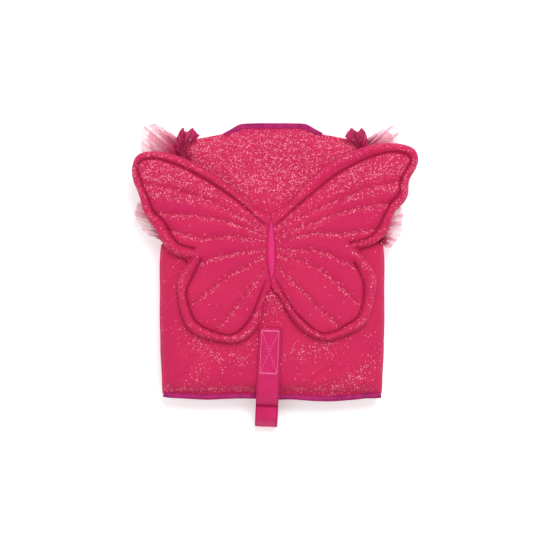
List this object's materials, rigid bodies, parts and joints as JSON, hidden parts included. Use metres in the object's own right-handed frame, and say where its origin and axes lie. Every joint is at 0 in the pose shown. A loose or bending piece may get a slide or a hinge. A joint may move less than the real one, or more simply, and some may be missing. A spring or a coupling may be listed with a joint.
{
  "type": "winged float vest",
  "caption": "Small child's float vest of glitter cloth with two stuffed butterfly wings on its back, net ruffles at the arms, a front zip and a webbing strap.",
  "frame": {"origin": "centre of the box seen from above, at the surface the vest lies on", "axes": "+Z out of the vest's back, +Y towards the neck, +X towards the wearer's right-hand wing as seen from above"},
  "size_m": [0.3435, 0.3653, 0.0584],
  "materials": {
    "glitter_cloth": "stretch cloth with fine glitter",
    "lining_cloth": "plain stretch cloth",
    "float_foam": "closed-cell foam",
    "wadding": "soft wadding",
    "binding_tape": "ribbed stretch tape",
    "satin_ribbon": "satin ribbon",
    "tulle": "fine net",
    "strap_webbing": "ribbed webbing",
    "thread": "sewing thread",
    "zip_tape_cloth": "woven tape",
    "zip_plastic": "moulded",
    "buckle_plastic": "moulded"
  },
  "bodies": {
    "vest": {"back_shell": "glitter_cloth", "back_foam": "float_foam", "back_lining": "lining_cloth", "neck_binding": "binding_tape", "back_hem_binding": "binding_tape", "left_side_panel": "glitter_cloth", "right_side_panel": "glitter_cloth", "left_armhole_binding": "binding_tape", "right_armhole_binding": "binding_tape", "wing_seam_strip": "glitter_cloth", "body_ribbon": "satin_ribbon", "left_ruffle_under": "tulle", "left_ruffle_over": "tulle", "right_ruffle_under": "tulle", "right_ruffle_over": "tulle", "crotch_strap": "strap_webbing", "strap_stitching": "thread", "buckle_plug": "buckle_plastic"},
    "front_left": {"front_left_shell": "glitter_cloth", "front_left_foam": "float_foam", "front_left_lining": "lining_cloth", "front_left_hem_binding": "binding_tape", "front_left_neck_binding": "binding_tape", "front_left_zip_tape": "zip_tape_cloth", "front_left_zip_teeth": "zip_plastic", "buckle_socket": "buckle_plastic", "buckle_socket_webbing": "strap_webbing"},
    "front_right": {"front_right_shell": "glitter_cloth", "front_right_foam": "float_foam", "front_right_lining": "lining_cloth", "front_right_hem_binding": "binding_tape", "front_right_neck_binding": "binding_tape", "front_right_zip_tape": "zip_tape_cloth", "front_right_zip_teeth": "zip_plastic"},
    "wing_left": {"wing_left_cover": "glitter_cloth", "wing_left_padding": "wadding", "wing_left_backing": "glitter_cloth"},
    "wing_right": {"wing_right_cover": "glitter_cloth", "wing_right_padding": "wadding", "wing_right_backing": "glitter_cloth"},
    "zip_slider": {"zip_slider": "zip_plastic"},
    "zip_pull": {"zip_pull": "zip_plastic"},
    "prong_left": {"buckle_prong_left": "buckle_plastic"},
    "prong_right": {"buckle_prong_right": "buckle_plastic"},
    "strap_adjuster": {"strap_adjuster": "buckle_plastic"}
  },
  "joints": [
    {"name": "front_left_open", "type": "hinge", "parent": "vest", "child": "front_left", "pos_m": [-0.112, -0.149, 0.01355], "axis": [0.1544, 0.988, 0], "range_deg": [0, 100]},
    {"name": "front_right_open", "type": "hinge", "parent": "vest", "child": "front_right", "pos_m": [0.105, -0.149, 0.01355], "axis": [0.1544, -0.988, 0], "range_deg": [0, 100]},
    {"name": "wing_left_lift", "type": "hinge", "parent": "vest", "child": "wing_left", "pos_m": [-0.0121, 0.026, 0.0468], "axis": [0, 1, 0], "range_deg": [0, 70]},
    {"name": "wing_right_lift", "type": "hinge", "parent": "vest", "child": "wing_right", "pos_m": [0.0023, 0.026, 0.0468], "axis": [0, -1, 0], "range_deg": [0, 70]},
    {"name": "zip_slide", "type": "slide", "parent": "front_left", "child": "zip_slider", "axis": [0, 1, 0], "range_m": [0, 0.24]},
    {"name": "zip_pull_swing", "type": "hinge", "parent": "zip_slider", "child": "zip_pull", "pos_m": [-0.0061, -0.1243, 0.0067], "axis": [-1, 0, 0], "range_deg": [0, 150]},
    {"name": "prong_left_squeeze", "type": "hinge", "parent": "vest", "child": "prong_left", "pos_m": [-0.01391, -0.00175, 0.0209], "axis": [0, 0, -1], "range_deg": [0, 9], "stiffness_Nm_per_rad": 0.02},
    {"name": "prong_right_squeeze", "type": "hinge", "parent": "vest", "child": "prong_right", "pos_m": [0.00867, -0.00278, 0.0209], "axis": [0, 0, 1], "range_deg": [0, 9], "stiffness_Nm_per_rad": 0.02},
    {"name": "strap_adjust", "type": "slide", "parent": "vest", "child": "strap_adjuster", "axis": [0.0454, 0.999, 0], "range_m": [-0.03, 0.018]}
  ]
}
